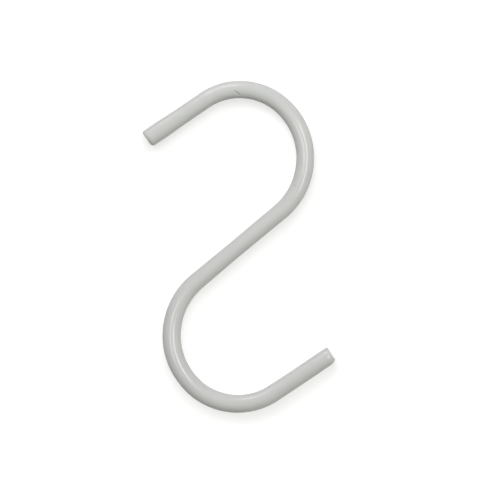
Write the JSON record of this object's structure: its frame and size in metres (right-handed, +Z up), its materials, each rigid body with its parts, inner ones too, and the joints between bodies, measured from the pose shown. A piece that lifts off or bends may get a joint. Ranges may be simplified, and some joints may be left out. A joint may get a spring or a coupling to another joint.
{
  "type": "s-hook",
  "caption": "S-shaped hanging hook bent from round coated steel wire and open at both ends: the upper bend goes over a rail and the lower bend carries what hangs.",
  "frame": {"origin": "the upper seat, at the inside crest of the upper bend, on the wire's plane", "axes": "+Z up as the hook hangs, +X across the hook towards the lower tip's side, +Y through the wire's plane, away from the viewer"},
  "size_m": [0.0454, 0.004, 0.0768],
  "materials": {
    "coat": "pale grey gloss coat over bent steel wire"
  },
  "bodies": {
    "root": {"s_hook": "coat"}
  },
  "joints": []
}
